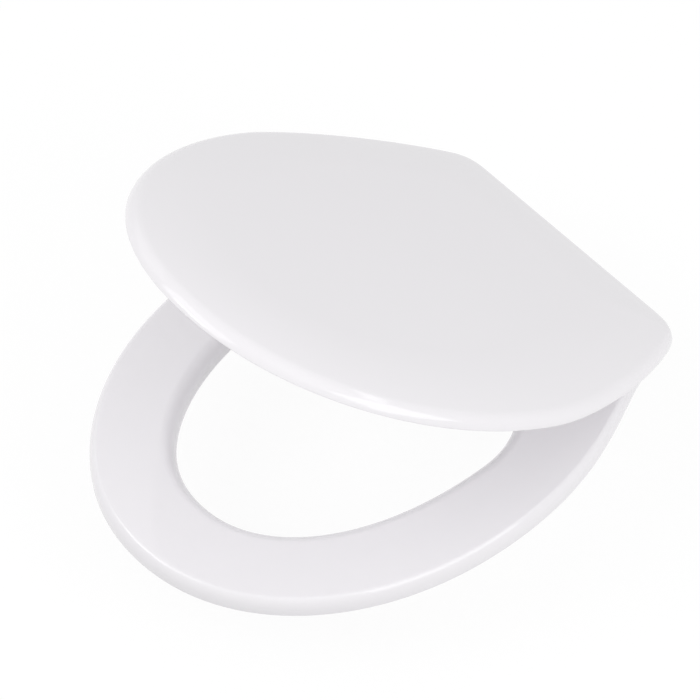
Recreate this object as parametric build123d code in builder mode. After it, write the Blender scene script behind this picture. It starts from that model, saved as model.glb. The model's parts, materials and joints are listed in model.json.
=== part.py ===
"""White toilet seat: a moulded lid and ring on a bar hinge with two fixing studs.

Millimetres. The origin lies midway between the studs, on the ceramic. +X is right,
+Y is to the rear and +Z is up. The ring is down and the lid is part open.
"""
import os
from math import atan2, cos, exp, hypot, pi, radians, sin

from build123d import *

os.makedirs("parts", exist_ok=True)

# Hinge axis and the angle of the lid
axis_y = 24.0
axis_z = 12.0
lid_angle = 31.0

# Lid, seen closed
lid_half_width = 185.0
lid_front = 233.6
lid_rear = 217.5
lid_corner_x = 120.0
lid_corner_r = 30.0
lid_side = (0.18, 0.34, 0.64)
lid_widest_y = -201.3
lid_rim_z = 17.7
lid_wall = 4.0
lid_shoulder = 12.0
lid_crown_width = 65.5
lid_crown_height = 7.0

# Ring, set in from the lid all round
ring_inset = 9.6
ring_half_width = lid_half_width - ring_inset
ring_front = lid_front - 7.6
ring_rear = lid_rear - 23.5
ring_corner_x = lid_corner_x
ring_corner_r = 24.0
ring_side = (0.53, 0.25, 0.22)
ring_widest_y = -195.7
ring_rear_y = ring_widest_y + ring_rear
ring_under_z = 8.0
ring_edge_height = 17.0
ring_edge_r = 6.0
ring_top_rise = 0.8
ring_side_width = 64.1
ring_front_width = 66.1
hole_widest_y = -175.1
hole_half_width = ring_half_width - ring_side_width
hole_front = ring_front + hole_widest_y - ring_widest_y - ring_front_width
hole_rear = 91.0
hole_power = 2.14
hole_edge_r = 10.0
groove_margin = 12.0
groove_depth = 8.0
groove_end_y = -150.0

# Bluntness of the nose; 2 is an ellipse. The lid_side and ring_side values shape the side curve:
# how far it runs straight behind the widest line and before the corner, and how much it fills out
nose_power = 2.07

# Hinge
rod_r = 2.5
rod_end_wall = 2.0
bush_bore_r = 2.55
bush_r = 3.5
knuckle_r = 6.0
knuckle_width = 12.0
lid_knuckle_x = 51.5
ring_knuckle_x = 64.0
post_x = 77.5
post_width = 14.0
rod_length = 2 * post_x + post_width - 2 * rod_end_wall
post_low_z = 3.5
post_top_z = 7.3
post_boss_r = 8.5
grub_r = 2.0
grub_length = 3.2

# Fixings
gasket_r = 18.5
gasket_thick = 1.5
plate_r = 18.0
plate_thick = 2.0
stud_shank_r = 4.0
stud_thread_r = 3.7
stud_shank_length = 18.0
stud_length = 62.0
stud_top_z = 6.8
cone_top_r = 6.5
cone_low_r = 11.0
cone_top_z = -18.6
cone_height = 8.4
washer_r = 11.0
washer_thick = 1.6
nut_hub_r = 8.0
nut_height = 13.0
wing_length = 15.0
wing_thick = 3.6

# Buffers
seat_buffer_length = 32.0
seat_buffer_width = 14.0
seat_peg_r = 3.0
seat_peg_length = 6.0
seat_front_spot = (0.685 * ring_half_width, ring_widest_y - 0.442 * ring_front, 62.0)
seat_rear_spot = (0.668 * ring_half_width, ring_widest_y + 0.616 * ring_rear, -80.0)
lid_buffer_r = 8.0
lid_buffer_gap = 0.3
lid_buffer_z = ring_under_z + ring_edge_height + ring_top_rise + lid_buffer_gap
lid_pad_r = 9.5
lid_pad_z = 28.0
lid_peg_r = 2.5
lid_peg_length = 2.6
lid_front_spot = (0.605 * lid_half_width, lid_widest_y - 0.477 * lid_front)
lid_rear_spot = (lid_half_width - 50.0, lid_widest_y + 0.393 * lid_rear)

sides = [("left", -1.0), ("right", 1.0)]
seat_buffer_spots = []
lid_buffer_spots = []
for name, side_sign in sides:
    for end, (x, y, turned) in (("front_", seat_front_spot), ("rear_", seat_rear_spot)):
        seat_buffer_spots.append((end + name, side_sign * x, y, side_sign * turned))
    for end, (x, y) in (("front_", lid_front_spot), ("rear_", lid_rear_spot)):
        lid_buffer_spots.append((end + name, side_sign * x, y))


def outline(half_width, front, rear, corner_x, corner_r, side_shape, widest_y):
    """Closed row of points: blunt nose, curved sides, corner arcs, straight rear edge."""
    run_out, run_in, fill = side_shape
    p0 = (half_width, 0.0)
    p1 = (half_width, run_out * rear)
    p2 = (corner_x + (half_width - corner_x) * fill, rear - run_in * rear)
    p3 = (corner_x, rear)

    def side(s):
        w = ((1 - s) ** 3, 3 * (1 - s) ** 2 * s, 3 * (1 - s) * s ** 2, s ** 3)
        return tuple(w[0] * p0[k] + w[1] * p1[k] + w[2] * p2[k] + w[3] * p3[k] for k in (0, 1))

    def arc_middle(s):
        w = ((1 - s) ** 2, 2 * (1 - s) * s, s ** 2)
        ux, uy = (w[0] * (p1[k] - p0[k]) + w[1] * (p2[k] - p1[k]) + w[2] * (p3[k] - p2[k]) for k in (0, 1))
        length = hypot(ux, uy)
        x, y = side(s)
        return x - corner_r * uy / length, y + corner_r * ux / length

    low = 0.0
    high = 1.0
    for step in range(40):
        mid = (low + high) / 2
        if arc_middle(mid)[1] < rear - corner_r:
            low = mid
        else:
            high = mid
    middle = arc_middle(low)
    start = side(low)
    right = []
    for i in range(1, 11):
        t = pi / 2 * (1 - i / 10)
        x = half_width * abs(cos(t)) ** (2 / nose_power)
        right.append((x, -front * abs(sin(t)) ** (2 / nose_power)))
    for i in range(1, 8):
        right.append(side(low * i / 8))
    first = atan2(start[1] - middle[1], start[0] - middle[0])
    for i in range(7):
        turned = first + (pi / 2 - first) * i / 6
        right.append((middle[0] + corner_r * cos(turned), middle[1] + corner_r * sin(turned)))
    for part_way in (0.1, 0.28, 0.6):
        right.append((middle[0] * (1 - part_way), rear))
    left = [(-x, y) for x, y in reversed(right)]
    row = [(0.0, -front)] + right + [(0.0, rear)] + left
    return [(x, y + widest_y) for x, y in row]


def lid_row(inset):
    """Lid outline moved inwards, measured from the hinge axis."""
    corner = 6.0 + (lid_corner_r - 6.0) * exp(-inset / (lid_corner_r - 6.0))
    wide = lid_half_width - inset
    corner_x = lid_corner_x - 0.6 * inset
    widest_y = lid_widest_y - axis_y
    return outline(wide, lid_front - inset, lid_rear - inset, corner_x, corner, lid_side, widest_y)


def ring_row(inset):
    """Ring outline moved inwards."""
    corner = 6.0 + (ring_corner_r - 6.0) * exp(-inset / (ring_corner_r - 6.0))
    wide = ring_half_width - inset
    corner_x = ring_corner_x - 0.78 * inset
    return outline(wide, ring_front - inset, ring_rear - inset, corner_x, corner, ring_side, ring_widest_y)


def hole_row(outset):
    """Outline of the opening, moved outwards."""
    row = []
    for i in range(44):
        t = 2 * pi * i / 44
        c = cos(t)
        s = sin(t)
        reach = hole_front + outset if s < 0 else hole_rear + outset
        power = 2 / hole_power
        x = (hole_half_width + outset) * abs(c) ** power * (1 if c > 0 else -1)
        y = reach * abs(s) ** power * (1 if s > 0 else -1)
        row.append((x, y + hole_widest_y))
    return row


def even(profile, count, power):
    """Points along a row of points, at lengths that grow by the given power."""
    runs = [0.0]
    for a, b in zip(profile, profile[1:]):
        runs.append(runs[-1] + hypot(b[0] - a[0], b[1] - a[1]))
    picked = []
    for i in range(count + 1):
        want = runs[-1] * (i / count) ** power
        k = 0
        while k < len(profile) - 2 and runs[k + 1] < want:
            k += 1
        f = (want - runs[k]) / (runs[k + 1] - runs[k])
        a = profile[k]
        b = profile[k + 1]
        picked.append((a[0] + f * (b[0] - a[0]), a[1] + f * (b[1] - a[1])))
    return picked


# Lid: outer skin and cavity as insets and heights above the rim
crown_turn = atan2(lid_crown_width, 2 * lid_crown_height)
inner_shoulder = lid_shoulder - lid_wall
lid_skin = []
lid_cavity = [(lid_wall, -2.0)]
for i in range(31):
    a = crown_turn * i / 30
    lid_skin.append((lid_shoulder * (1 - cos(a)), lid_shoulder * sin(a)))
    lid_cavity.append((lid_shoulder - inner_shoulder * cos(a), inner_shoulder * sin(a)))
skin_start = lid_skin[-1]
cavity_start = lid_cavity[-1]
lid_middle = skin_start[0] + lid_crown_width
for i in range(1, 31):
    u = i / 30
    rise = lid_crown_height * (1 - (1 - u) ** 2)
    lid_skin.append((skin_start[0] + u * (lid_middle - skin_start[0]), skin_start[1] + rise))
    lid_cavity.append((cavity_start[0] + u * (lid_middle - cavity_start[0]), cavity_start[1] + rise))

lid_plane = Plane(
    origin=(0, axis_y, axis_z),
    x_dir=(1, 0, 0),
    z_dir=(0, sin(radians(lid_angle)), cos(radians(lid_angle))),
)
rim = lid_rim_z - axis_z
lid_back = lid_widest_y + lid_rear - axis_y
lid_lug = [
    (lid_back - 3.6, rim + 0.4),
    (lid_back - 3.6, rim + 6.0),
    (lid_back - 0.5, rim + 6.0),
    (0.5 * knuckle_r, 0.866 * knuckle_r),
    (0.0, 0.0),
    (-0.7 * knuckle_r, -0.714 * knuckle_r),
]

with BuildPart() as lid:
    for inset, height in even(lid_skin, 12, 1.5):
        with BuildSketch(lid_plane.offset(rim + height)):
            with BuildLine():
                Spline(*lid_row(inset), periodic=True)
            make_face()
    loft()
with BuildPart() as lid_hollow:
    for inset, height in even(lid_cavity, 12, 1.5):
        with BuildSketch(lid_plane.offset(rim + height)):
            with BuildLine():
                Spline(*lid_row(inset), periodic=True)
            make_face()
    loft()
with lid:
    add(lid_hollow.part, mode=Mode.SUBTRACT)
    for name, x, y in lid_buffer_spots:
        with BuildSketch(lid_plane.offset(lid_pad_z - axis_z)):
            with Locations((x, y - axis_y)):
                Circle(lid_pad_r)
        extrude(amount=3.5)
        with BuildSketch(lid_plane.offset(lid_pad_z - axis_z)):
            with Locations((x, y - axis_y)):
                Circle(lid_peg_r)
        extrude(amount=lid_peg_length, mode=Mode.SUBTRACT)
    for name, side_sign in sides:
        start_x = side_sign * lid_knuckle_x - knuckle_width / 2
        lug_plane = Plane(lid_plane.origin + Vector(start_x, 0, 0), x_dir=lid_plane.y_dir, z_dir=(1, 0, 0))
        with BuildSketch(lug_plane):
            Polygon(*lid_lug, align=None)
            Circle(knuckle_r)
        extrude(amount=knuckle_width)
        with BuildSketch(lug_plane):
            Circle(bush_r)
        extrude(amount=knuckle_width, mode=Mode.SUBTRACT)
lid.part.label = "lid"
export_step(lid.part, "parts/lid.step")

for name, x, y in lid_buffer_spots:
    with BuildPart() as lid_buffer:
        with BuildSketch(lid_plane.offset(lid_buffer_z - axis_z)):
            with Locations((x, y - axis_y)):
                Circle(lid_buffer_r)
        extrude(amount=lid_pad_z - lid_buffer_z)
        with BuildSketch(lid_plane.offset(lid_pad_z - axis_z)):
            with Locations((x, y - axis_y)):
                Circle(lid_peg_r)
        extrude(amount=lid_peg_length)
    lid_buffer.part.label = "lid_buffer_" + name
    export_step(lid_buffer.part, "parts/lid_buffer_" + name + ".step")

for name, side_sign in sides:
    start_x = side_sign * lid_knuckle_x - knuckle_width / 2
    with BuildPart() as lid_bush:
        with BuildSketch(Plane.YZ.offset(start_x)):
            with Locations((axis_y, axis_z)):
                Circle(bush_r)
                Circle(bush_bore_r, mode=Mode.SUBTRACT)
        extrude(amount=knuckle_width)
    lid_bush.part.label = "lid_bush_" + name
    export_step(lid_bush.part, "parts/lid_bush_" + name + ".step")

# Ring: outer skin and opening as insets and heights above the underside
top_start = ring_edge_height - ring_edge_r
ring_top = ring_edge_height + ring_top_rise
ring_skin = [(1.6, 0.0), (0.4, 1.0), (0.0, 2.6)]
for i in range(17):
    a = radians(80.0 * i / 16)
    ring_skin.append((ring_edge_r * (1 - cos(a)), top_start + ring_edge_r * sin(a)))
ring_skin += [(8.5, ring_top - 0.48), (14.0, ring_top - 0.18), (24.0, ring_top)]
hole_start = ring_top + 0.15 - hole_edge_r
hole_skin = [(2.8, -1.0), (0.6, 1.0), (0.0, 2.6)]
for i in range(17):
    a = radians(80.0 * i / 16)
    hole_skin.append((hole_edge_r * (1 - cos(a)), hole_start + hole_edge_r * sin(a)))
hole_skin.append((12.0, ring_top + 0.7))

ring_lug = [
    (ring_rear_y - 8.0, ring_under_z + 1.0),
    (ring_rear_y - 8.0, axis_z + 0.667 * knuckle_r),
    (axis_y - 0.745 * knuckle_r, axis_z + 0.667 * knuckle_r),
    (axis_y, axis_z),
    (axis_y - 0.5 * knuckle_r, axis_z - 0.866 * knuckle_r),
    (ring_rear_y + 1.5, ring_under_z + 1.0),
]

with BuildPart() as ring_opening:
    for outset, height in even(hole_skin, 9, 1.0):
        with BuildSketch(Plane.XY.offset(ring_under_z + height)):
            with BuildLine():
                Spline(*hole_row(outset), periodic=True)
            make_face()
    loft()
with BuildPart() as seat_ring:
    for inset, height in even(ring_skin, 12, 1.0):
        with BuildSketch(Plane.XY.offset(ring_under_z + height)):
            with BuildLine():
                Spline(*ring_row(inset), periodic=True)
            make_face()
    loft()
    add(ring_opening.part, mode=Mode.SUBTRACT)
    with BuildSketch(Plane.XY.offset(ring_under_z)):
        with BuildLine():
            Spline(*ring_row(groove_margin), periodic=True)
        make_face()
        with BuildLine():
            Spline(*hole_row(groove_margin), periodic=True)
        make_face(mode=Mode.SUBTRACT)
        with Locations((0, groove_end_y)):
            Rectangle(400, 300, align=(Align.CENTER, Align.MIN), mode=Mode.SUBTRACT)
        for name, x, y, turned in seat_buffer_spots:
            with Locations(Location((x, y, 0), (0, 0, turned))):
                SlotOverall(seat_buffer_length + 6, seat_buffer_width + 6, mode=Mode.SUBTRACT)
    extrude(amount=groove_depth, mode=Mode.SUBTRACT)
    for name, x, y, turned in seat_buffer_spots:
        with BuildSketch(Plane.XY.offset(ring_under_z)):
            with Locations((x, y)):
                Circle(seat_peg_r)
        extrude(amount=seat_peg_length, mode=Mode.SUBTRACT)
    for name, side_sign in sides:
        start_x = side_sign * ring_knuckle_x - knuckle_width / 2
        with BuildSketch(Plane.YZ.offset(start_x)):
            Polygon(*ring_lug, align=None)
            with Locations((axis_y, axis_z)):
                Circle(knuckle_r)
        extrude(amount=knuckle_width)
        with BuildSketch(Plane.YZ.offset(start_x)):
            with Locations((axis_y, axis_z)):
                Circle(bush_r)
        extrude(amount=knuckle_width, mode=Mode.SUBTRACT)
seat_ring.part.label = "seat_ring"
export_step(seat_ring.part, "parts/seat_ring.step")

for name, x, y, turned in seat_buffer_spots:
    with BuildPart() as seat_buffer:
        with BuildSketch():
            with Locations(Location((x, y, 0), (0, 0, turned))):
                SlotOverall(seat_buffer_length, seat_buffer_width)
        extrude(amount=ring_under_z)
        low_faces = seat_buffer.faces().sort_by(Axis.Z)
        fillet(low_faces[0].edges(), 2.0)
        with BuildSketch(Plane.XY.offset(ring_under_z)):
            with Locations((x, y)):
                Circle(seat_peg_r)
        extrude(amount=seat_peg_length)
    seat_buffer.part.label = "seat_buffer_" + name
    export_step(seat_buffer.part, "parts/seat_buffer_" + name + ".step")

for name, side_sign in sides:
    start_x = side_sign * ring_knuckle_x - knuckle_width / 2
    with BuildPart() as seat_bush:
        with BuildSketch(Plane.YZ.offset(start_x)):
            with Locations((axis_y, axis_z)):
                Circle(bush_r)
                Circle(bush_bore_r, mode=Mode.SUBTRACT)
        extrude(amount=knuckle_width)
    seat_bush.part.label = "seat_bush_" + name
    export_step(seat_bush.part, "parts/seat_bush_" + name + ".step")

# Hinge rod with lightly broken ends
with BuildPart() as hinge_rod:
    with BuildSketch(Plane.YZ.offset(-rod_length / 2)):
        with Locations((axis_y, axis_z)):
            Circle(rod_r)
    extrude(amount=rod_length)
    chamfer(hinge_rod.edges(), 0.4)
hinge_rod.part.label = "hinge_rod"
export_step(hinge_rod.part, "parts/hinge_rod.step")

for name, side_sign in sides:
    centre_x = side_sign * post_x
    start_x = centre_x - post_width / 2

    # Post: flat arm over the plate, rising to the barrel behind it
    with BuildPart() as hinge_post:
        with BuildSketch(Plane.YZ.offset(start_x)):
            Polygon(
                (0, post_low_z),
                (axis_y - 11.0, post_low_z),
                (axis_y - 0.333 * knuckle_r, axis_z - 0.943 * knuckle_r),
                (axis_y, axis_z),
                (axis_y - 0.745 * knuckle_r, axis_z + 0.667 * knuckle_r),
                (axis_y - 11.5, post_top_z),
                (0, post_top_z),
                align=None,
            )
            with Locations((axis_y, axis_z)):
                Circle(knuckle_r)
        extrude(amount=post_width)
        with BuildSketch(Plane.XY.offset(post_low_z)):
            with Locations((centre_x, 0)):
                Circle(post_boss_r)
        extrude(amount=post_top_z - post_low_z)
        with BuildSketch(Plane.XY.offset(post_low_z)):
            with Locations((centre_x, 0)):
                Circle(stud_thread_r)
        extrude(amount=post_top_z - post_low_z, mode=Mode.SUBTRACT)
        with BuildSketch(Plane.YZ.offset(side_sign * rod_length / 2)):
            with Locations((axis_y, axis_z)):
                Circle(rod_r)
        extrude(amount=-side_sign * 20.0, mode=Mode.SUBTRACT)
        with BuildSketch(Plane((centre_x, axis_y, axis_z), x_dir=(1, 0, 0), z_dir=(0, 1, 0))):
            Circle(grub_r)
        extrude(amount=knuckle_r + 1, mode=Mode.SUBTRACT)
    hinge_post.part.label = "hinge_post_" + name
    export_step(hinge_post.part, "parts/hinge_post_" + name + ".step")

    # Grub screw from behind, pressed on the rod
    grub_plane = Plane((centre_x, axis_y + rod_r, axis_z), x_dir=(1, 0, 0), z_dir=(0, 1, 0))
    with BuildPart() as grub_screw:
        with BuildSketch(grub_plane):
            Circle(grub_r)
        extrude(amount=grub_length)
        with BuildSketch(grub_plane.offset(grub_length - 1.8)):
            RegularPolygon(1.15, 6)
        extrude(amount=1.8, mode=Mode.SUBTRACT)
    grub_screw.part.label = "grub_screw_" + name
    export_step(grub_screw.part, "parts/grub_screw_" + name + ".step")

    with BuildPart() as base_plate:
        with BuildSketch(Plane.XY.offset(gasket_thick)):
            with Locations((centre_x, 0)):
                Circle(plate_r)
                Circle(stud_shank_r, mode=Mode.SUBTRACT)
        extrude(amount=plate_thick)
        top_edges = base_plate.faces().sort_by(Axis.Z)[-1].outer_wire().edges()
        fillet(top_edges, 1.2)
    base_plate.part.label = "base_plate_" + name
    export_step(base_plate.part, "parts/base_plate_" + name + ".step")

    with BuildPart() as base_gasket:
        with BuildSketch():
            with Locations((centre_x, 0)):
                Circle(gasket_r)
                Circle(stud_shank_r, mode=Mode.SUBTRACT)
        extrude(amount=gasket_thick)
    base_gasket.part.label = "base_gasket_" + name
    export_step(base_gasket.part, "parts/base_gasket_" + name + ".step")

    # Stud: plain shank in the ceramic, thread above it in the post and below it for the nut
    with BuildPart() as fixing_stud:
        with BuildSketch():
            with Locations((centre_x, 0)):
                Circle(stud_thread_r)
        extrude(amount=stud_top_z)
        with BuildSketch():
            with Locations((centre_x, 0)):
                Circle(stud_shank_r)
        extrude(amount=-stud_shank_length)
        with BuildSketch(Plane.XY.offset(-stud_shank_length)):
            with Locations((centre_x, 0)):
                Circle(stud_thread_r)
        extrude(amount=-(stud_length - stud_shank_length))
        chamfer(fixing_stud.edges().sort_by(Axis.Z)[0], 0.8)
    fixing_stud.part.label = "fixing_stud_" + name
    export_step(fixing_stud.part, "parts/fixing_stud_" + name + ".step")

    with BuildPart() as cone_washer:
        with BuildSketch(Plane.XY.offset(cone_top_z - cone_height)):
            with Locations((centre_x, 0)):
                Circle(cone_low_r)
        with BuildSketch(Plane.XY.offset(cone_top_z)):
            with Locations((centre_x, 0)):
                Circle(cone_top_r)
        loft()
        with BuildSketch(Plane.XY.offset(cone_top_z)):
            with Locations((centre_x, 0)):
                Circle(stud_thread_r)
        extrude(amount=-cone_height, mode=Mode.SUBTRACT)
    cone_washer.part.label = "cone_washer_" + name
    export_step(cone_washer.part, "parts/cone_washer_" + name + ".step")

    washer_z = cone_top_z - cone_height - washer_thick
    with BuildPart() as flat_washer:
        with BuildSketch(Plane.XY.offset(washer_z)):
            with Locations((centre_x, 0)):
                Circle(washer_r)
                Circle(stud_thread_r, mode=Mode.SUBTRACT)
        extrude(amount=washer_thick)
    flat_washer.part.label = "flat_washer_" + name
    export_step(flat_washer.part, "parts/flat_washer_" + name + ".step")

    # Wing nut: hub and two upright wings
    with BuildPart() as wing_nut:
        with BuildSketch(Plane.XY.offset(washer_z)):
            with Locations((centre_x, 0)):
                Circle(nut_hub_r)
        extrude(amount=-nut_height)
        with BuildSketch(Plane.XZ.offset(-wing_thick / 2)):
            with Locations((centre_x, washer_z - nut_height / 2)):
                RectangleRounded(2 * (nut_hub_r + wing_length), nut_height, 4.0)
        extrude(amount=wing_thick)
        with BuildSketch(Plane.XY.offset(washer_z)):
            with Locations((centre_x, 0)):
                Circle(stud_thread_r)
        extrude(amount=-nut_height, mode=Mode.SUBTRACT)
    wing_nut.part.label = "wing_nut_" + name
    export_step(wing_nut.part, "parts/wing_nut_" + name + ".step")
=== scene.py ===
# %% [markdown]
# # A white toilet seat, part open
#
# The seat is two glossy white mouldings, a lid and a ring, on a bar hinge that is bolted to the
# bowl. The solids give the places and the overall sizes, so this lesson only makes what the eye
# needs on top of them: smooth skins for the two mouldings, cut threads on the studs, finishes,
# light and a camera. Sizes are in millimetres until they go into a mesh, which is in metres.

# %% Load the solids as the frame
import json

import bpy
import numpy as np
from mathutils import Matrix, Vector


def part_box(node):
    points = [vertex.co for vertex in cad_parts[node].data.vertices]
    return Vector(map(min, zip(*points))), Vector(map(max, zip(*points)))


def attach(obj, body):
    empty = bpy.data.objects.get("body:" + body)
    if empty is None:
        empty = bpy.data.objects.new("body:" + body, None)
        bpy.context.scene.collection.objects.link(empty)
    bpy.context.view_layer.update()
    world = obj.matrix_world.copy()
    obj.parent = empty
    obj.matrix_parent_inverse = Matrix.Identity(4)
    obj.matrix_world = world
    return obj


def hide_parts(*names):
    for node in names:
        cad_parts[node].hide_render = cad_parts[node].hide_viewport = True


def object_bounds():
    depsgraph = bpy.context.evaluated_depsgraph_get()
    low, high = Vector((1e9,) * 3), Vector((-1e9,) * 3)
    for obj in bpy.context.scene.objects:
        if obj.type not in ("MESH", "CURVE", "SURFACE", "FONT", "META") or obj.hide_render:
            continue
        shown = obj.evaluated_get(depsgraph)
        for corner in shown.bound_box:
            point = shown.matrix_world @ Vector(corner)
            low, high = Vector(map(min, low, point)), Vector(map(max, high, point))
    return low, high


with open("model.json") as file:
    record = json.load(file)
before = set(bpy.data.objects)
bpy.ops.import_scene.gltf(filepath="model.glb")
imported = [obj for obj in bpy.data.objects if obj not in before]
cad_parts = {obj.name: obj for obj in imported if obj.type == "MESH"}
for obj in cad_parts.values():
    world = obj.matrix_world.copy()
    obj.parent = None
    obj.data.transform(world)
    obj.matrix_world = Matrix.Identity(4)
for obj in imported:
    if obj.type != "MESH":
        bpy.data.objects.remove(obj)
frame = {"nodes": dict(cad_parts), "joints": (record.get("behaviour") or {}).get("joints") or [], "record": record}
cad_low, cad_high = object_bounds()
MM = 0.001
SIDES = ("left", "right")
nodes = frame["nodes"]
scene = bpy.context.scene
print("solids:", len(nodes), "box:", [round(v, 3) for v in cad_high - cad_low])

# %% [markdown]
# ## Where the hinge is
#
# Both mouldings turn about one steel rod. The joint in the frame says where the rod runs and how
# far the lid stands open, so the lid can be drawn closed, where it is easy to think about, and
# then tilted about that line.

# %% The hinge line and the angle of the lid
lid_joint = next(j for j in frame["joints"] if j["child"] == "lid")
axis_y, axis_z = (value / MM for value in lid_joint["pos_m"][1:])
lid_open = np.radians(-lid_joint["range_deg"][0])


def tilt(points, angle):
    """Turns points about the hinge line by the angle that lifts the front edge: their distances
    behind and above the line are mixed by the angle's cosine and sine."""
    y = points[..., 1] - axis_y
    z = points[..., 2] - axis_z
    turned_y = axis_y + y * np.cos(angle) + z * np.sin(angle)
    turned_z = axis_z - y * np.sin(angle) + z * np.cos(angle)
    return np.stack([points[..., 0], turned_y, turned_z], axis=-1)


print("hinge line at y", round(axis_y, 1), "z", round(axis_z, 1))
print("lid open by", round(np.degrees(lid_open), 1), "degrees")

# %% [markdown]
# ## A skin from a grid of points
#
# Every new piece here is a grid: rows of points that close round on themselves. A grid can be
# closed at its ends with one point each, as on a lid, or joined last row to first, as on a ring.
# Numpy makes all the faces at once, and the sign of the enclosed volume says which way they face.

# %% Grid to mesh
SHARP_ANGLE = 35.0


def grid_faces(rows, places, joined):
    """Quads that join each point to the next place round and the next row. Open ends get fans of
    triangles to two tips, which are numbered after the points of the grid."""
    index = np.arange(rows * places).reshape(rows, places)
    ahead = np.roll(index, -1, axis=1)
    above = np.roll(index, -1, axis=0)
    above_ahead = np.roll(ahead, -1, axis=0)
    quads = np.stack([index, ahead, above_ahead, above], axis=-1)
    if joined:
        return quads.reshape(-1, 4), np.zeros((0, 3), int)
    first_tip = np.full(places, rows * places)
    start = np.stack([first_tip, ahead[0], index[0]], axis=-1)
    end = np.stack([first_tip + 1, index[-1], ahead[-1]], axis=-1)
    return quads[:-1].reshape(-1, 4), np.concatenate([start, end])


def skin(name, grid, tips=None):
    """Object from a grid of rows by places round, in mm. Two tips close an open stack of rows, and
    without them the last row joins the first. The volume is a sixth of the sum of all triangles'
    triple products, and where it is negative the faces are turned round."""
    quads, fans = grid_faces(*grid.shape[:2], joined=tips is None)
    points = grid.reshape(-1, 3)
    if tips is not None:
        points = np.concatenate([points, tips])
    triangles = np.concatenate([quads[:, [0, 1, 2]], quads[:, [0, 2, 3]], fans])
    corner = points[triangles]
    volume = np.einsum("ij,ij->i", corner[:, 0], np.cross(corner[:, 1], corner[:, 2])).sum() / 6
    order = -1 if volume < 0 else 1
    mesh = bpy.data.meshes.new(name)
    mesh.from_pydata(points * MM, [], quads[:, ::order].tolist() + fans[:, ::order].tolist())
    mesh.polygons.foreach_set("use_smooth", np.ones(len(mesh.polygons), bool))
    mesh.set_sharp_from_angle(angle=np.radians(SHARP_ANGLE))
    mesh.update()
    piece = bpy.data.objects.new(name, mesh)
    scene.collection.objects.link(piece)
    print(name, "faces", len(mesh.polygons), "volume cm3", round(abs(volume) / 1000, 1))
    return piece


print("edges that turn more than", SHARP_ANGLE, "degrees stay sharp")

# %% [markdown]
# ## The outline that lid and ring share
#
# Seen from above, both mouldings have a blunt half oval in front, sides that draw in towards the
# hinge, rounded corners and a straight rear edge. It could be a drawn curve, but a formula keeps
# lid and ring alike.

# %% The outline's formula
NOSE_POWER = 2.07
EASE = 5.0
CURVE_POINTS = 4096
NOSE_STEPS, SIDE_STEPS, CORNER_STEPS, REAR_STEPS = 1500, 3000, 500, 600


def inward(run):
    """Unit normals on the left of a curve's steps, which is inside when it goes right from the nose."""
    unit = run / np.linalg.norm(run, axis=1)[:, None]
    return np.stack([-unit[:, 1], unit[:, 0]], axis=-1)


def eased(curve):
    """A closed curve spaced evenly along its length and smoothed: each wave round the curve fades by
    a bell curve of the easing length over the wave's own, so that joints between arcs don't show."""
    closed = np.concatenate([curve, curve[:1]])
    run = np.concatenate([[0], np.cumsum(np.linalg.norm(np.diff(closed, axis=0), axis=1))])
    spot = np.arange(CURVE_POINTS) / CURVE_POINTS * run[-1]
    even = np.interp(spot, run, closed[:, 0]) + 1j * np.interp(spot, run, closed[:, 1])
    waves = np.fft.fftfreq(CURVE_POINTS, run[-1] / CURVE_POINTS)
    smooth = np.fft.ifft(np.fft.fft(even) * np.exp(-((2 * np.pi * waves * EASE) ** 2) / 2))
    return np.stack([smooth.real, smooth.imag], axis=-1)


def seat_outline(half_width, front, rear, corner_x, corner_r, side_shape):
    """Closed curve in mm from the middle of its widest line, starting at the nose and going right: a
    blunt half oval, a cubic side curve, the corner arc that touches it and the rear edge, mirrored.
    The side's shape is how far it runs on from the widest line, how far into the corner, and how
    full it is there."""
    run_out, run_in, fill = side_shape
    t = np.linspace(np.pi / 2, 0, NOSE_STEPS)
    power = 2 / NOSE_POWER
    nose = np.stack([half_width * np.abs(np.cos(t)) ** power, -front * np.sin(t) ** power], axis=-1)
    start = np.array([half_width, 0.0])
    leave = np.array([half_width, run_out * rear])
    arrive = np.array([corner_x + (half_width - corner_x) * fill, rear - run_in * rear])
    end = np.array([corner_x, rear])
    s = np.linspace(0, 1, SIDE_STEPS)[1:, None]
    side = (1 - s) ** 3 * start + 3 * (1 - s) ** 2 * s * leave + 3 * (1 - s) * s**2 * arrive + s**3 * end
    run = (1 - s) ** 2 * (leave - start) + 2 * (1 - s) * s * (arrive - leave) + s**2 * (end - arrive)
    normal = inward(run)
    middles = side + corner_r * normal
    last = np.argmax(middles[:, 1] > rear - corner_r)
    a = np.linspace(np.arctan2(-normal[last, 1], -normal[last, 0]), np.pi / 2, CORNER_STEPS)
    corner = middles[last] + corner_r * np.stack([np.cos(a), np.sin(a)], axis=-1)
    edge_x = np.linspace(middles[last, 0], 0, REAR_STEPS)[1:]
    edge = np.stack([edge_x, np.full_like(edge_x, rear)], axis=-1)
    right = np.concatenate([nose, side[:last], corner, edge])
    return eased(np.concatenate([right, right[-2:0:-1] * [-1, 1]]))


print("points on each outline:", CURVE_POINTS)

# %% [markdown]
# Moving every point along the outline's own normal gives a shoulder an even width, which is what
# makes a highlight run along it at a steady distance. Rays from a middle then pick the grid's
# points on each inset, so that all rows of a skin have the same places.

# %% Insets of an outline and rays through it
RAYS = 720
BEND_WEIGHT = 70.0


def moved_in(curve, inset):
    """Every point of a closed curve moved along its inward normal."""
    return curve + inset * inward(np.roll(curve, -2, axis=0) - np.roll(curve, 2, axis=0))


def reach(curve, centre_y, rays):
    """Distance from a centre on the mid line to a closed curve, along rays counted from the nose."""
    seen = np.arctan2(curve[:, 0], centre_y - curve[:, 1])
    return np.interp(rays, seen, np.hypot(curve[:, 0], curve[:, 1] - centre_y), period=2 * np.pi)


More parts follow.
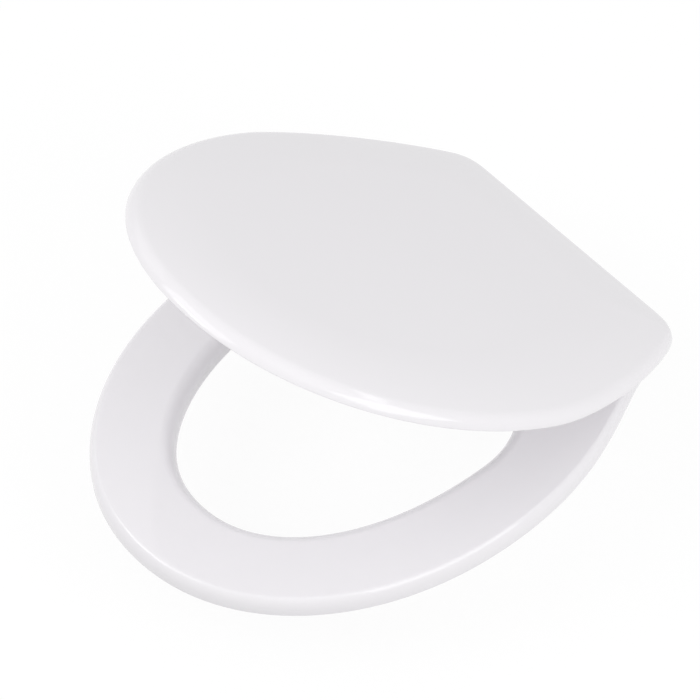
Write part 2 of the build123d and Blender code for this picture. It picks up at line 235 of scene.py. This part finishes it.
def spread_rays(curve, centre_y):
    """Rays spread evenly along a curve, counting its length in mm plus a weight for each radian it
    bends, so that the corners get more of them."""
    run = np.roll(curve, -1, axis=0) - curve
    heading = np.unwrap(np.arctan2(run[:, 1], run[:, 0]))
    cost = np.linalg.norm(run, axis=1) + BEND_WEIGHT * np.abs(np.gradient(heading))
    total = np.concatenate([[0], np.cumsum(cost)])
    closed = np.concatenate([curve, curve[:1]])
    place = np.arange(len(closed))
    spot = np.interp(np.arange(RAYS) / RAYS * total[-1], total, place)
    x = np.interp(spot, place, closed[:, 0])
    y = np.interp(spot, place, closed[:, 1])
    return np.arctan2(x, centre_y - y)


def ray_points(distance, rays, centre_y, widest_y, height):
    """Grid of points from distances along rays: sideways by the ray's sine, forwards by its cosine,
    with one height a row."""
    x = distance * np.sin(rays)
    y = widest_y + centre_y - distance * np.cos(rays)
    return np.stack([x, y, np.broadcast_to(height, x.shape)], axis=-1)


print("rays through each outline:", RAYS)

# %% [markdown]
# ## The lid
#
# The real lid is pressed in one piece from a white thermoset: an even wall a few millimetres
# thick, a round shoulder, a crown that levels out towards the middle and a short rim that wraps
# over the ring. A subdivided cage would pinch at the corners, so the skin is a stack of outlines,
# each set in from the last. Past the shoulder the insets blend into a smaller outline, because a
# true inset would fold over itself in the corners.

# %% Lid outline and the outline of its level top
lid_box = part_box("lid")
lid_half_width = (lid_box[1][0] - lid_box[0][0]) / 2 / MM
lid_front, lid_rear = 233.6, 217.5
lid_corner_x, lid_corner_r, lid_side = 120.0, 30.0, (0.18, 0.34, 0.64)
lid_widest_y, lid_centre = -201.3, -8.0
top_width, top_corner_share, top_corner_r = 76.0, 0.6, 30.0

lid_curve = seat_outline(lid_half_width, lid_front, lid_rear, lid_corner_x, lid_corner_r, lid_side)
lid_rays = spread_rays(lid_curve, lid_centre)
top_size = np.array([lid_half_width, lid_front, lid_rear]) - top_width
top_corner_x = lid_corner_x - top_corner_share * top_width
top_curve = seat_outline(*top_size, top_corner_x, top_corner_r, lid_side)
print("lid", round(2 * lid_half_width, 1), "mm wide and", round(lid_front + lid_rear, 1), "mm long")

# %% Lid profile, from the edge of the top over the rim to the underside
lid_wall, lid_shoulder = 4.0, 12.0
crown_width, crown_height, crown_power = 72.0, 6.6, 2.3
rim_r, rim_turn = 0.8, 0.1
outer_round_steps, outer_crown_steps = 14, 16
inner_round_steps, inner_crown_steps = 8, 12


def shoulder(radius, turns):
    """Inset and height on a round about the shoulder's middle: cosine and sine of the turn."""
    return np.stack([lid_shoulder - radius * np.cos(turns), radius * np.sin(turns)], axis=-1)


def crown(start, steps):
    """Inset and height from the shoulder's end to the top: the rise eases off by a power."""
    u = np.linspace(0, 1, steps + 1)[1:]
    inset = start[0] + u * (top_width - start[0])
    return np.stack([inset, start[1] + crown_height * (1 - (1 - u) ** crown_power)], axis=-1)


crown_turn = np.arctan2(crown_width, crown_power * crown_height)
outer_round = shoulder(lid_shoulder, np.linspace(crown_turn, rim_turn, outer_round_steps))
inner_round = shoulder(lid_shoulder - lid_wall, np.linspace(rim_turn, crown_turn, inner_round_steps))
outer_rim = rim_r * np.array([[0, 1], [0.15, 0.5], [0.5, 0.15], [1, 0]])
inner_rim = [lid_wall, 0] + outer_rim[:0:-1] * [-1, 1]
outer_crown = crown(outer_round[0], outer_crown_steps)[::-1]
inner_crown = crown(inner_round[-1], inner_crown_steps)
lid_profile = np.concatenate([outer_crown, outer_round, outer_rim, inner_rim, inner_round, inner_crown])
print("lid profile points", len(lid_profile), "height", round(np.ptp(lid_profile[:, 1]), 1))

# %% Lid skin
lid_rim_z, top_rise = 17.7, 0.7
level_shares = np.array([0.04, 0.15, 0.3, 0.48, 0.66, 0.84])[:, None, None]


def lid_reach(inset):
    """Distances for a column of insets: true insets to the shoulder's width, then a curve that
    leaves the shoulder at the same pace and ends on the outline of the top."""
    near = np.minimum(inset, lid_shoulder)
    rows = np.stack([reach(moved_in(lid_curve, d), lid_centre, lid_rays) for d in near])
    step = reach(moved_in(lid_curve, lid_shoulder - 1), lid_centre, lid_rays)
    edge = reach(moved_in(lid_curve, lid_shoulder), lid_centre, lid_rays)
    pace = edge - step
    span = top_width - lid_shoulder
    past = np.maximum(inset - lid_shoulder, 0)[:, None]
    end = reach(top_curve, lid_centre, lid_rays)
    return rows + pace * past + (end - edge - pace * span) * (past / span) ** 2


def levelled(row, share):
    """Rows that shrink an outline towards the lid's middle by shares, with a slight dome that rises
    by one minus the share squared."""
    flat = lid_middle + (row - lid_middle) * [1, 1, 0] * share + [0, 0, 1] * row
    return flat + [0, 0, 1] * (top_rise * (1 - share**2))


lid_middle = np.array([0.0, lid_widest_y + lid_centre, 0.0])
lid_height = lid_rim_z + lid_profile[:, 1:]
lid_grid = ray_points(lid_reach(lid_profile[:, 0]), lid_rays, lid_centre, lid_widest_y, lid_height)
over = levelled(lid_grid[0], level_shares)
under = levelled(lid_grid[-1], level_shares[::-1])
lid_grid = np.concatenate([over, lid_grid, under])
lid_tips = lid_middle + lid_grid[[0, -1], 0] * [0, 0, 1]
lid_shell = skin("lid_shell", tilt(lid_grid, lid_open), tilt(lid_tips, lid_open))

# %% [markdown]
# ## Pads for the lid's buffers
#
# Under the lid a low round pad is moulded on for each rubber buffer, with a hole for the buffer's
# peg. A pad is a short stack of circles about the buffer's own axis. The hole stays out of sight
# behind the buffer, so it is left out, and the pad's top ends inside the lid's wall.

# %% Buffer pads of the lid
lid_pad_r, lid_pad_height, lid_pad_break, lid_pad_places = 9.5, 4.2, 0.4, 64
buffer_peg = 2.6


def turned(centre, radius, height, places):
    """Circles about an upright axis: the turn's cosine and sine times a radius, one height a row."""
    turns = np.linspace(0, 2 * np.pi, places, endpoint=False)
    x = centre[0] + radius * np.cos(turns)
    y = centre[1] + radius * np.sin(turns)
    return np.stack([x, y, np.broadcast_to(height, x.shape)], axis=-1)


def lid_pad(place):
    """Round boss on the closed lid, tilted with it: circles about the buffer's axis, from a lightly
    broken edge where the buffer's peg starts up into the wall."""
    mesh = nodes["lid_buffer_" + place].data
    corners = np.empty(len(mesh.vertices) * 3, np.float32)
    mesh.vertices.foreach_get("co", corners)
    closed = tilt(corners.reshape(-1, 3) / MM, -lid_open)
    centre = (closed.min(axis=0) + closed.max(axis=0)) / 2
    face = closed[:, 2].max() - buffer_peg
    radius = np.array([lid_pad_r - lid_pad_break, lid_pad_r, lid_pad_r])[:, None]
    height = np.array([face, face + lid_pad_break, face + lid_pad_height])[:, None]
    grid = turned(centre, radius, height, lid_pad_places)
    tips = np.array([[*centre[:2], face], [*centre[:2], face + lid_pad_height]])
    return skin("lid_pad_" + place, tilt(grid, lid_open), tilt(tips, lid_open))


lid_pads = [lid_pad(end + side) for end in ("front_", "rear_") for side in SIDES]

# %% [markdown]
# ## Hinge lugs
#
# Two lugs grow out of the rear of each moulding and hold the rod in a nylon bush. Seen along the
# rod a lug is a round knuckle with a web running forwards, so it is drawn as one distance for
# each direction round the rod: the web's outline where that is further out, the knuckle's circle
# elsewhere. The same round goes from the bore over both ends, with its edges lightly broken.

# %% Lug prism
knuckle_r, bore_r, edge_break, lug_places = 6.0, 3.5, 0.5, 360
PARALLEL = 1e-9


def web_reach(corners, rays):
    """Distance from the rod to the web's outline along rays: the furthest crossing of any side."""
    a = np.array(corners)
    run = np.roll(a, -1, axis=0) - a
    ray = np.stack([np.cos(rays), np.sin(rays)], axis=-1)[:, None]
    cross = ray[..., 0] * run[:, 1] - ray[..., 1] * run[:, 0]
    cross = np.where(np.abs(cross) < PARALLEL, PARALLEL, cross)
    far = (a[:, 0] * run[:, 1] - a[:, 1] * run[:, 0]) / cross
    along = (a[:, 0] * ray[..., 1] - a[:, 1] * ray[..., 0]) / cross
    hit = (far > 0) & (along >= 0) & (along <= 1)
    return np.where(hit, far, 0).max(axis=1)


def lug(name, bush, corners, angle):
    """A lug as long as its bush: bore, broken edges and outside, as rows joined into a closed tube."""
    rays = np.linspace(0, 2 * np.pi, lug_places, endpoint=False)
    low, high = (corner[0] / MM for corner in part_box(bush))
    outside = np.maximum(web_reach(corners, rays), knuckle_r)
    broken = outside - edge_break
    bore = np.full_like(outside, bore_r)
    radius = np.stack([bore, broken, outside, outside, broken, bore])
    rows_x = np.array([low, low, low + edge_break, high - edge_break, high, high])[:, None]
    y = axis_y + radius * np.cos(rays)
    z = axis_z + radius * np.sin(rays)
    grid = np.stack([np.broadcast_to(rows_x, radius.shape), y, z], axis=-1)
    return skin(name, tilt(grid, angle))


print("knuckle", 2 * knuckle_r, "mm across, bore", 2 * bore_r, "mm")

# %% Lid lugs
# The web starts inside the rear wall of the lid and meets the knuckle low in front and on top.
lid_web_in, lid_web_out, lid_web_low, lid_web_high = 3.6, 0.5, 0.4, 6.0
lid_web_foot = knuckle_r * np.array([-0.7, -0.714])
lid_web_top = knuckle_r * np.array([0.5, 0.866])
rim_up = lid_rim_z - axis_z
lid_back = lid_widest_y + lid_rear - axis_y
lid_web = [
    (lid_back - lid_web_in, rim_up + lid_web_low),
    lid_web_foot,
    lid_web_top,
    (lid_back - lid_web_out, rim_up + lid_web_high),
    (lid_back - lid_web_in, rim_up + lid_web_high),
]
lid_lugs = [lug("lid_lug_" + side, "lid_bush_" + side, lid_web, lid_open) for side in SIDES]

# %% [markdown]
# ## The ring
#
# The ring is a thicker moulding: a tall round on its outer edge, a nearly level top and a round
# edge at the opening. Underneath, the sides and front are grooved to save material, with a pad
# left for each front buffer. It could be a bevelled curve, but its width changes all the way
# round, so its section is carried round both outlines at once: rays from the middle meet the
# outer edge and the opening, and the section runs between the two.

# %% Outlines of the ring and its opening
ring_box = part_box("seat_ring")
ring_half_width = (ring_box[1][0] - ring_box[0][0]) / 2 / MM
ring_front, ring_rear = 226.0, 194.0
ring_corner_x, ring_corner_r, ring_side = 120.0, 24.0, (0.53, 0.25, 0.22)
ring_widest_y, ring_centre = -195.7, -10.0
hole_half_width, hole_front, hole_rear, hole_y = 111.3, 180.5, 91.0, 20.6
hole_power, hole_steps = 2.14, 6000


def opening_outline():
    """Two half ovals, longer in front: cosine and sine raised to a power a little under one."""
    t = np.linspace(0, 2 * np.pi, hole_steps, endpoint=False) - np.pi / 2
    power = 2 / hole_power
    x = hole_half_width * np.abs(np.cos(t)) ** power * np.sign(np.cos(t))
    length = np.where(np.sin(t) < 0, hole_front, hole_rear)
    return np.stack([x, hole_y + length * np.abs(np.sin(t)) ** power * np.sign(np.sin(t))], axis=-1)


ring_curve = seat_outline(
    ring_half_width, ring_front, ring_rear, ring_corner_x, ring_corner_r, ring_side
)
ring_rays = spread_rays(ring_curve, ring_centre)
hole_curve = opening_outline()
print("ring", round(2 * ring_half_width, 1), "mm wide and", round(ring_front + ring_rear, 1), "mm long")

# %% Section of the ring at its outer edge and at the opening
ring_under_z, top_height, foot_r = 8.0, 17.8, 1.5
edge_wide, edge_tall, edge_drop, edge_end = 6.0, 13.0, 0.6, 89
soft_wide, soft_tall = 12.0, 14.0
foot_steps, edge_steps, soft_steps = 6, 18, 24


def quarter(wide, tall, start, stop, steps):
    """Sideways and upward distances along a quarter ellipse, between two angles from its flank."""
    a = np.radians(np.linspace(start, stop, steps))
    return wide * (1 - np.cos(a)), tall * np.sin(a)


def ring_rows(curve, insets):
    """Distances for a column of insets of one curve."""
    return np.stack([reach(moved_in(curve, d), ring_centre, ring_rays) for d in insets])


foot_in, foot_up = quarter(foot_r, foot_r, 90, 0, foot_steps)
edge_in, edge_up = quarter(edge_wide, edge_tall, 0, edge_end, edge_steps)
soft_in, soft_up = quarter(soft_wide, soft_tall, 90, 0, soft_steps)
outer_height = np.concatenate([foot_r - foot_up, top_height - edge_drop - edge_tall + edge_up])
hole_height = np.concatenate([top_height - soft_tall + soft_up, foot_r - foot_up[::-1]])
outer_rows = ring_rows(ring_curve, np.concatenate([foot_in, edge_in]))
hole_rows = ring_rows(hole_curve, -np.concatenate([soft_in, foot_in[::-1]]))
print("ring width at the nose", round(float((outer_rows.max(0) - hole_rows.min(0))[0]), 1))

# %% [markdown]
# The groove is cut with a mask: one inside the groove, zero on the pads and behind the groove's
# end, with a short slope between so that the walls have the draft that a mould needs.

# %% Mask of the groove under the ring
groove_margin, groove_depth, groove_end_y, draft = 12.0, 8.0, -150.0, 1.5
slot_pad_length, slot_pad_width, slot_pad_lean, groove_steps = 38.0, 20.0, 62.0, 34


def ramp(value):
    """Smooth step from zero to one: three times the square less twice the cube."""
    t = np.clip(value, 0, 1)
    return t * t * (3 - 2 * t)


def pad_mask(x, y, buffer):
    """One away from the slot-shaped pad of a buffer and zero on it: the distance from the slot's
    middle line less half its width, ramped over the draft."""
    low, high = (np.array(corner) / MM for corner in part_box(buffer))
    centre = (low + high) / 2
    lean = np.radians(slot_pad_lean) * np.sign(centre[0])
    along = (x - centre[0]) * np.cos(lean) + (y - centre[1]) * np.sin(lean)
    across = (y - centre[1]) * np.cos(lean) - (x - centre[0]) * np.sin(lean)
    straight = (slot_pad_length - slot_pad_width) / 2
    away = np.hypot(np.maximum(np.abs(along) - straight, 0), across) - slot_pad_width / 2
    return ramp(away / draft)


def between(a, b, share):
    """Rows at the given shares of the way from row a to row b."""
    return a + (b - a) * share[:, None]


def ring_points(distance, height):
    """Grid of points of the ring from distances along its rays and heights above its underside."""
    return ray_points(distance, ring_rays, ring_centre, ring_widest_y, ring_under_z + height)


inner_wall = ring_rows(hole_curve, [-groove_margin])[0]
outer_wall = ring_rows(ring_curve, [groove_margin])[0]
under_rows = between(inner_wall, outer_wall, np.linspace(0, 1, groove_steps))
under_grid = ring_points(under_rows, 0.0)
under_x, under_y = under_grid[..., 0], under_grid[..., 1]
wall_gap = np.minimum(under_rows - inner_wall, outer_wall - under_rows)
mask = ramp(wall_gap / draft) * ramp((groove_end_y - under_y) / draft)
for side in SIDES:
    mask = mask * pad_mask(under_x, under_y, "seat_buffer_front_" + side)
under_grid[..., 2] += groove_depth * mask
print("share of the underside that is grooved", round(float(mask.mean()), 2))

# %% Ring skin
# The top falls a little towards the outer edge, which leaves room for the closed lid.
top_steps, drop_power = 22, 3
top_shares = np.linspace(0, 1, top_steps)[1:-1]
top_rows = between(outer_rows[-1], hole_rows[0], top_shares)
top_grid = ring_points(top_rows, top_height - edge_drop * (1 - top_shares[:, None]) ** drop_power)
outer_grid = ring_points(outer_rows, outer_height[:, None])
hole_grid = ring_points(hole_rows, hole_height[:, None])
ring_shell = skin("ring_shell", np.concatenate([outer_grid, top_grid, hole_grid, under_grid]))

# %% Ring lugs
# The web starts inside the ring's rear edge and meets the knuckle low and high on its front.
ring_web_in, ring_web_out, ring_web_up = 8.0, 1.5, 1.0
ring_web_foot = knuckle_r * np.array([-0.5, -0.866])
ring_web_middle = knuckle_r * np.array([0.0, 0.3])
ring_web_top = knuckle_r * np.array([-0.745, 0.667])
ring_back = ring_widest_y + ring_rear - axis_y
under_up = ring_under_z + ring_web_up - axis_z
ring_web = [
    (ring_back - ring_web_in, under_up),
    (ring_back + ring_web_out, under_up),
    ring_web_foot,
    ring_web_middle,
    ring_web_top,
    (ring_back - ring_web_in, ring_web_top[1]),
]
ring_lugs = [lug("ring_lug_" + side, "seat_bush_" + side, ring_web, 0.0) for side in SIDES]

# %% [markdown]
# ## One piece each
#
# A moulding is one piece, so its pads and lugs are joined to its shell before it takes the solid's
# place. The shell keeps its name and rides on the body that the solid belongs to.

# %% Join pads and lugs, and replace the solids


def moulded(shell, grown, node, body):
    """Joins what grows from the shell to it and lets the piece stand for its solid."""
    bpy.ops.object.select_all(action="DESELECT")
    for part in [shell, *grown]:
        part.select_set(True)
    bpy.context.view_layer.objects.active = shell
    bpy.ops.object.join()
    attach(shell, body)
    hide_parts(node)
    print(shell.name, "stands for", node, "faces", len(shell.data.polygons))


moulded(lid_shell, lid_pads + lid_lugs, "lid", "lid")
moulded(ring_shell, ring_lugs, "seat_ring", "seat")

# %% [markdown]
# ## Studs with a cut thread
#
# Each stud is an 8 mm steel rod with a plain shank where it passes through the bowl and a thread
# for the nut below. A screw modifier could wind the thread, but its ends would need mending. Here
# the thread is one surface whose radius rises and falls along a helix: the height in pitches
# minus the share of a turn gives the place within one tooth.

# %% Stud surface
pitch, crest_r, root_r, point_length = 1.25, 3.9, 3.35, 0.8
neck_r, neck_break, shank_r, shank_length = 3.7, 0.5, 4.0, 18.0
stud_places, rows_per_pitch = 40, 8


def threaded_stud(side):
    """Surface of revolution with a helix cut below the shank: the radius goes from root to crest by
    the place within a tooth, and falls off over the point at the lower end."""
    low, high = (np.array(corner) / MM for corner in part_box("fixing_stud_" + side))
    centre = (low + high) / 2
    plain = np.array([
        [high[2], neck_r - neck_break],
        [high[2] - neck_break, neck_r],
        [0.0, neck_r],
        [0.0, shank_r],
        [-shank_length, shank_r],
    ])
    z = np.arange(-shank_length, low[2], -pitch / rows_per_pitch)[:, None]
    tooth = np.abs(((z / pitch - np.arange(stud_places) / stud_places) % 1) * 2 - 1)
    thread = root_r + (crest_r - root_r) * ramp(tooth)
    point = crest_r - point_length * ramp((low[2] + point_length - z) / point_length)
    plain_radius = np.repeat(plain[:, 1:], stud_places, axis=1)
    radius = np.concatenate([plain_radius, np.minimum(thread, point)])
    height = np.concatenate([plain[:, :1], z])
    tips = [[*centre[:2], high[2]], [*centre[:2], z[-1, 0]]]
    stud = skin("threaded_stud_" + side, turned(centre, radius, height, stud_places), tips)
    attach(stud, "hinge_base")
    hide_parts("fixing_stud_" + side)
    return stud


studs = [threaded_stud(side) for side in SIDES]

# %% [markdown]
# ## Finishes
#
# Each finish starts from what the real surface is. Colours are written as they would be picked
# on a screen and turned into linear light by one function. One small helper adds a shader node.

# %% Colour and node helpers


def linear(hex_colour):
    """sRGB hex to linear red, green, blue and alpha, by the sRGB standard's own curve."""
    value = np.array([int(hex_colour[i : i + 2], 16) for i in (0, 2, 4)]) / 255
    light = np.where(value <= 0.04045, value / 12.92, ((value + 0.055) / 1.055) ** 2.4)
    return (*light.tolist(), 1.0)


def add_node(tree, kind, values=None, links=None, **settings):
    """Adds one node with its properties, its socket values and the sockets that feed it."""
    node = tree.nodes.new(kind)
    for key, value in settings.items():
        setattr(node, key, value)
    for key, value in (values or {}).items():
        node.inputs[key].default_value = value
    for key, source in (links or {}).items():
        tree.links.new(source, node.inputs[key])
    return node


def finish(name, colour, roughness, metallic=0.0, ior=1.5):
    """A material with one shader; its constants sit on the shader's own sockets."""
    material = bpy.data.materials.new(name)
    material.use_nodes = True
    tree = material.node_tree
    tree.nodes.clear()
    values = {"Base Color": linear(colour), "Roughness": roughness, "Metallic": metallic, "IOR": ior}
    shader = add_node(tree, "ShaderNodeBsdfPrincipled", values)
    add_node(tree, "ShaderNodeOutputMaterial", links={"Surface": shader.outputs["BSDF"]})
    print("finish", name, colour)
    return material, tree, shader


print("middle grey in linear light", round(linear("808080")[0], 3))

# %% [markdown]
# ### Pressed thermoset, nylon and chrome
#
# Lid and ring are pressed hot in a polished steel mould, bushes and wing nuts are moulded, and
# posts and plates are cast, polished and plated. A noise could stand in for flow marks, but good
# work of these kinds shows none, so each is one even shader.

# %% Lid and ring, bushes and nuts, posts and plates
# Urea moulding compound: a hard, even, faintly cool white with a clear gloss all over and no grain.
moulding, *_ = finish("pressed_white_thermoset", "EFEDF0", 0.07)
# Moulded nylon in its natural colour: waxy and matt.
nylon, *_ = finish("natural_nylon", "E0DDD3", 0.45, ior=1.53)
# Cast zinc with polished chrome plate: a dark mirror with a cool tint.
chrome, *_ = finish("chrome_plate", "C9CBCE", 0.08, metallic=1.0)

# %% [markdown]
# ### Rubber
#
# Buffers and gaskets are soft moulded rubber. An even shader would look like hard plastic, so a
# fine noise lifts and sinks the surface by a tenth of a millimetre.

# %% Buffers and gaskets
# Pale rubber: a dull, slightly powdery skin with a mottle about 1.5 mm wide.
mottle_width, mottle_height, mottle_strength, mottle_detail = 1.5, 0.1, 0.15, 2.0
rubber, rubber_tree, rubber_shader = finish("pale_rubber", "D2D1CE", 0.75)
place = add_node(rubber_tree, "ShaderNodeTexCoord")
mottle = add_node(
    rubber_tree,
    "ShaderNodeTexNoise",
    {"Scale": 1 / (mottle_width * MM), "Detail": mottle_detail},
    {"Vector": place.outputs["Object"]},
)
powder = add_node(
    rubber_tree,
    "ShaderNodeBump",
    {"Strength": mottle_strength, "Distance": mottle_height * MM},
    {"Height": mottle.outputs["Fac"]},
)
rubber_tree.links.new(powder.outputs["Normal"], rubber_shader.inputs["Normal"])

# %% [markdown]
# ### Drawn steel
#
# Rod, studs, washers and grub screws are stainless steel that was drawn through a die, which
# leaves fine lines along it. A noise that is stretched the way of the rod gives such lines, and it
# changes the gloss rather than the shape, because such lines are very shallow.

# %% Rod, studs, washers and grub screws
# Drawn stainless: grey with a soft gloss. The draw lines are about 0.3 mm apart on the real thing
# and drawn at 0.8 mm so that they show.
line_gap, line_stretch = 0.8, 50.0
gloss_low, gloss_high = 0.22, 0.4
steel, steel_tree, steel_shader = finish("drawn_stainless", "B4B4B2", 0.3, metallic=1.0)
place = add_node(steel_tree, "ShaderNodeTexCoord")
along_rod = add_node(
    steel_tree,
    "ShaderNodeMapping",
    {"Scale": (1 / line_stretch, 1.0, 1.0)},
    {"Vector": place.outputs["Object"]},
)
lines = add_node(
    steel_tree,
    "ShaderNodeTexNoise",
    {"Scale": 1 / (line_gap * MM)},
    {"Vector": along_rod.outputs["Vector"]},
)
gloss = add_node(
    steel_tree,
    "ShaderNodeMapRange",
    {"To Min": gloss_low, "To Max": gloss_high},
    {"Value": lines.outputs["Fac"]},
)
steel_tree.links.new(gloss.outputs["Result"], steel_shader.inputs["Roughness"])

# %% [markdown]
# The record names a slot for every solid, so one table from slots to finishes dresses them all.
# The new pieces get theirs one by one, after the join.

# %% Give every piece its finish
slots = {"moulding": moulding, "buffer": rubber, "gasket": rubber, "bush": nylon, "nut": nylon}
slots.update({"hinge_metal": chrome, "steel": steel})
subparts = frame["record"]["subparts"]
for entry in subparts:
    for spot in nodes[entry["node"]].material_slots:
        spot.material = slots[entry["material_slot"]]
dressed = {lid_shell: moulding, ring_shell: moulding, **dict.fromkeys(studs, steel)}
for piece, material in dressed.items():
    piece.data.materials.clear()
    piece.data.materials.append(material)
print("finishes given to", len(subparts), "solids and", len(dressed), "new pieces")

# %% [markdown]
# ## Floor, light and camera
#
# The seat is lit like a catalogue picture: a bright even surround, soft boxes on the left and the
# right, narrow strips that draw the thin highlights, and a white floor. The floor is white to the
# camera and to reflections, with a part of its plain surface mixed in so that it keeps the soft
# shadow. For light that bounces, floor and surround are plain and dimmer.

# %% Floor
floor_size, floor_gap = 12.0, 0.001
floor_share, floor_strength = 0.86, 1.06


def seen_directly(tree):
    """One for what the camera sees, also in a reflection or through glass, and zero for other light:
    the largest of three answers of the Light Path node."""
    ray = add_node(tree, "ShaderNodeLightPath")
    seen = add_node(
        tree,
        "ShaderNodeMath",
        links={0: ray.outputs["Is Camera Ray"], 1: ray.outputs["Is Glossy Ray"]},
        operation="MAXIMUM",
    )
    links = {0: seen.outputs[0], 1: ray.outputs["Is Transmission Ray"]}
    return add_node(tree, "ShaderNodeMath", links=links, operation="MAXIMUM").outputs[0]


floor_z = cad_low[2] - floor_gap
corners = np.array([[-1, -1, 0], [1, -1, 0], [1, 1, 0], [-1, 1, 0]]) * floor_size / 2
floor_mesh = bpy.data.meshes.new("floor")
floor_mesh.from_pydata(corners + [0, 0, floor_z], [], [[0, 1, 2, 3]])
floor = bpy.data.objects.new("floor", floor_mesh)
scene.collection.objects.link(floor)
paper = bpy.data.materials.new("white_paper")
paper.use_nodes = True
tree = paper.node_tree
tree.nodes.clear()
seen = seen_directly(tree)
share = add_node(tree, "ShaderNodeMath", {1: floor_share}, {0: seen}, operation="MULTIPLY")
plain = add_node(tree, "ShaderNodeBsdfDiffuse", {"Color": linear("D6D6D6")})
white = add_node(tree, "ShaderNodeEmission", {"Strength": floor_strength})
links = {0: share.outputs[0], 1: plain.outputs[0], 2: white.outputs[0]}
both = add_node(tree, "ShaderNodeMixShader", links=links)
add_node(tree, "ShaderNodeOutputMaterial", links={"Surface": both.outputs[0]})
floor_mesh.materials.append(paper)
print("floor at z", round(floor_z, 3))

# %% Surround
surround_strength, backdrop_strength = 0.635, 1.0
world = bpy.data.worlds.new("studio")
scene.world = world
world.use_nodes = True
tree = world.node_tree
tree.nodes.clear()
light = add_node(
    tree, "ShaderNodeBackground", {"Color": linear("FFFFFF"), "Strength": surround_strength}
)
backdrop = add_node(
    tree, "ShaderNodeBackground", {"Color": linear("FFFFFF"), "Strength": backdrop_strength}
)
links = {0: seen_directly(tree), 1: light.outputs[0], 2: backdrop.outputs[0]}
mixed = add_node(tree, "ShaderNodeMixShader", links=links)
add_node(tree, "ShaderNodeOutputWorld", links={"Surface": mixed.outputs[0]})
print("surround", surround_strength, "behind the seat", backdrop_strength)

# %% Lamps
lamp_aim, lamp_distance = np.array([0.0, -0.2, 0.05]), 2.4
soft_box, long_strip, short_strip = (1.8, 1.4), (1.4, 0.3), (0.9, 0.3)


def facing(target, azimuth, elevation, distance):
    """Matrix of a lamp or camera on a dome round a target, turned to face it with its top up.
    Azimuth 0 is straight in front and 90 is on the right."""
    a, e = np.radians([azimuth, elevation])
    away = np.array([np.sin(a) * np.cos(e), -np.cos(a) * np.cos(e), np.sin(e)])
    across = np.array([np.cos(a), np.sin(a), 0.0])
    matrix = np.eye(4)
    matrix[:3, :3] = np.stack([across, np.cross(away, across), away], axis=-1)
    matrix[:3, 3] = target + away * distance
    return Matrix(matrix.tolist())


def soft_lamp(name, azimuth, elevation, size, power):
    """A rectangular lamp on a dome round the seat, with its width and height in metres."""
    data = bpy.data.lights.new(name, "AREA")
    data.shape = "RECTANGLE"
    data.size, data.size_y = size
    data.energy = power
    lamp = bpy.data.objects.new(name, data)
    lamp.matrix_world = facing(lamp_aim, azimuth, elevation, lamp_distance)
    scene.collection.objects.link(lamp)
    print("lamp", name, "power", power)


soft_lamp("left_box", -30, 44, soft_box, 14.2)
soft_lamp("left_strip", -28, 31, short_strip, 3.0)
soft_lamp("right_box", 95, 30, soft_box, 18.0)
soft_lamp("right_high_box", 80, 60, soft_box, 1.5)
soft_lamp("far_left_box", -90, 30, soft_box, 2.8)
soft_lamp("rear_strip", 140, 50, long_strip, 2.5)

# %% [markdown]
# The camera stands well back with a long lens, in front of the seat on the right and high up. Its
# direction, distance and focal length were found by matching the outlines of lid, ring and
# opening to the picture.

# %% Camera
camera_azimuth, camera_elevation, camera_distance = 48.75, 51.09, 3.346
look_at = np.array([-0.0454, -0.1689, 0.008])
focal_pixels, image_width = 4315.8, 700
camera_data = bpy.data.cameras.new("camera")
camera_data.sensor_width = 36.0
camera_data.lens = camera_data.sensor_width * focal_pixels / image_width
camera_data.clip_end = 50.0
camera = bpy.data.objects.new("camera", camera_data)
camera.matrix_world = facing(look_at, camera_azimuth, camera_elevation, camera_distance)
scene.collection.objects.link(camera)
scene.camera = camera
scene.view_settings.view_transform = "Standard"
print("lens", round(camera_data.lens, 1), "mm")
